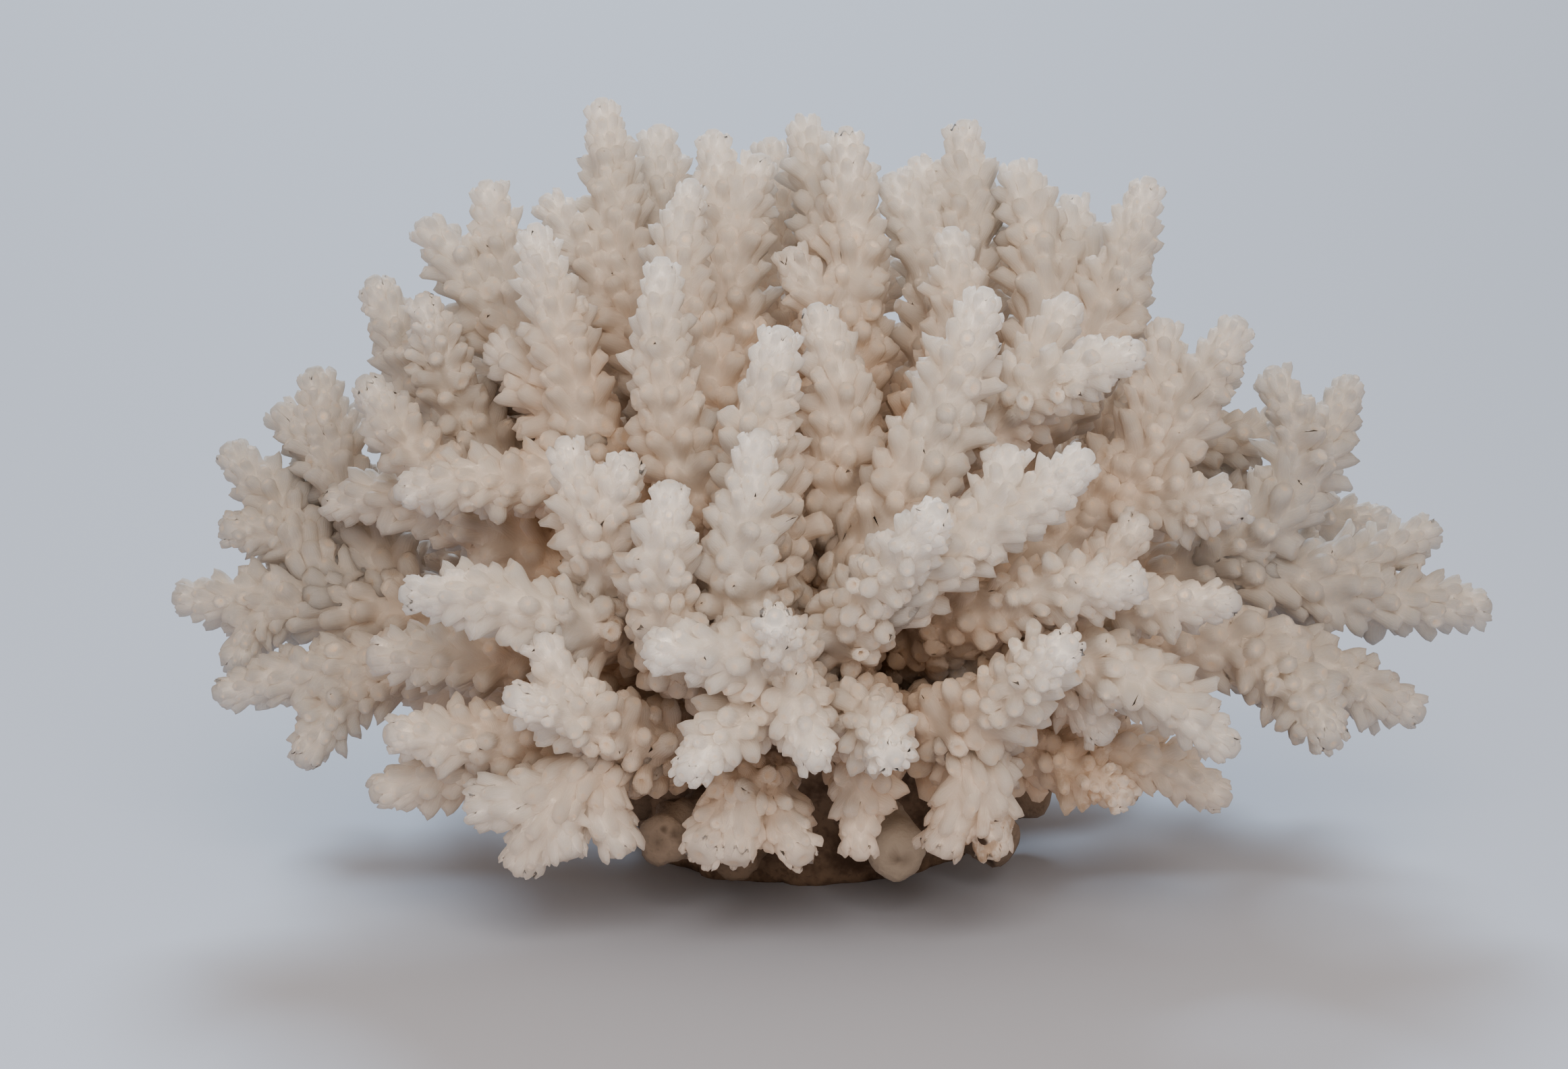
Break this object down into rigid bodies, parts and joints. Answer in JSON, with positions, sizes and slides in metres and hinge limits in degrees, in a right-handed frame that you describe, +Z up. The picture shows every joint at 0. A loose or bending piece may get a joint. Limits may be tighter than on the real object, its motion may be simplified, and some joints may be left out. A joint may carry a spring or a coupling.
{
  "type": "branch coral skeleton",
  "caption": "Bushy dome of bleached finger branches covered in small cups, cut flat at its rough foot so that it stands as an ornament.",
  "frame": {"origin": "middle of the level of the flat cut, under the middle of the colony's outline", "axes": "+X to the right along the colony's longest side, +Y to the back, +Z up out of the flat cut"},
  "size_m": [0.208, 0.163, 0.119],
  "materials": {
    "skeleton": "matte, finely porous, cream white",
    "foot": "matte, rough, stained brown"
  },
  "bodies": {
    "root": {"back_high_left": "skeleton", "back_high_middle": "skeleton", "back_high_right": "skeleton", "back_low_left": "skeleton", "back_low_mid_left": "skeleton", "back_low_mid_right": "skeleton", "back_low_middle": "skeleton", "back_low_right": "skeleton", "back_right_long": "skeleton", "back_rise_left": "skeleton", "back_rise_mid_left": "skeleton", "back_rise_mid_right": "skeleton", "back_rise_middle": "skeleton", "back_rise_right": "skeleton", "crown": "foot", "front_bud": "skeleton", "front_knob": "skeleton", "front_right_arm": "skeleton", "front_spear": "skeleton", "front_stem": "skeleton", "front_tall": "skeleton", "left_cross": "skeleton", "left_fork_high": "skeleton", "left_fork_low": "skeleton", "left_front_low": "skeleton", "left_front_reach": "skeleton", "left_front_scaly": "skeleton", "left_front_short": "skeleton", "left_front_tall": "skeleton", "left_high": "skeleton", "left_high_front": "skeleton", "left_long": "skeleton", "left_low": "skeleton", "left_rise": "skeleton", "left_rise_low": "skeleton", "low_front_fan": "skeleton", "low_left_fan": "skeleton", "low_left_paddle": "skeleton", "low_right_fan": "skeleton", "low_right_spray": "skeleton", "right_fork_high": "skeleton", "right_front_paddle": "skeleton", "right_front_wing": "skeleton", "right_hook": "skeleton", "right_long": "skeleton", "right_low": "skeleton", "right_near": "skeleton", "right_rise": "skeleton", "right_side_near": "skeleton", "top_back_left": "skeleton", "top_front_left": "skeleton", "top_front_right": "skeleton", "top_left": "skeleton", "top_left_high": "skeleton", "top_middle": "skeleton", "top_right": "skeleton", "top_right_broad": "skeleton", "upper_front": "skeleton", "upper_left_front": "skeleton", "upper_middle": "skeleton"}
  },
  "joints": []
}
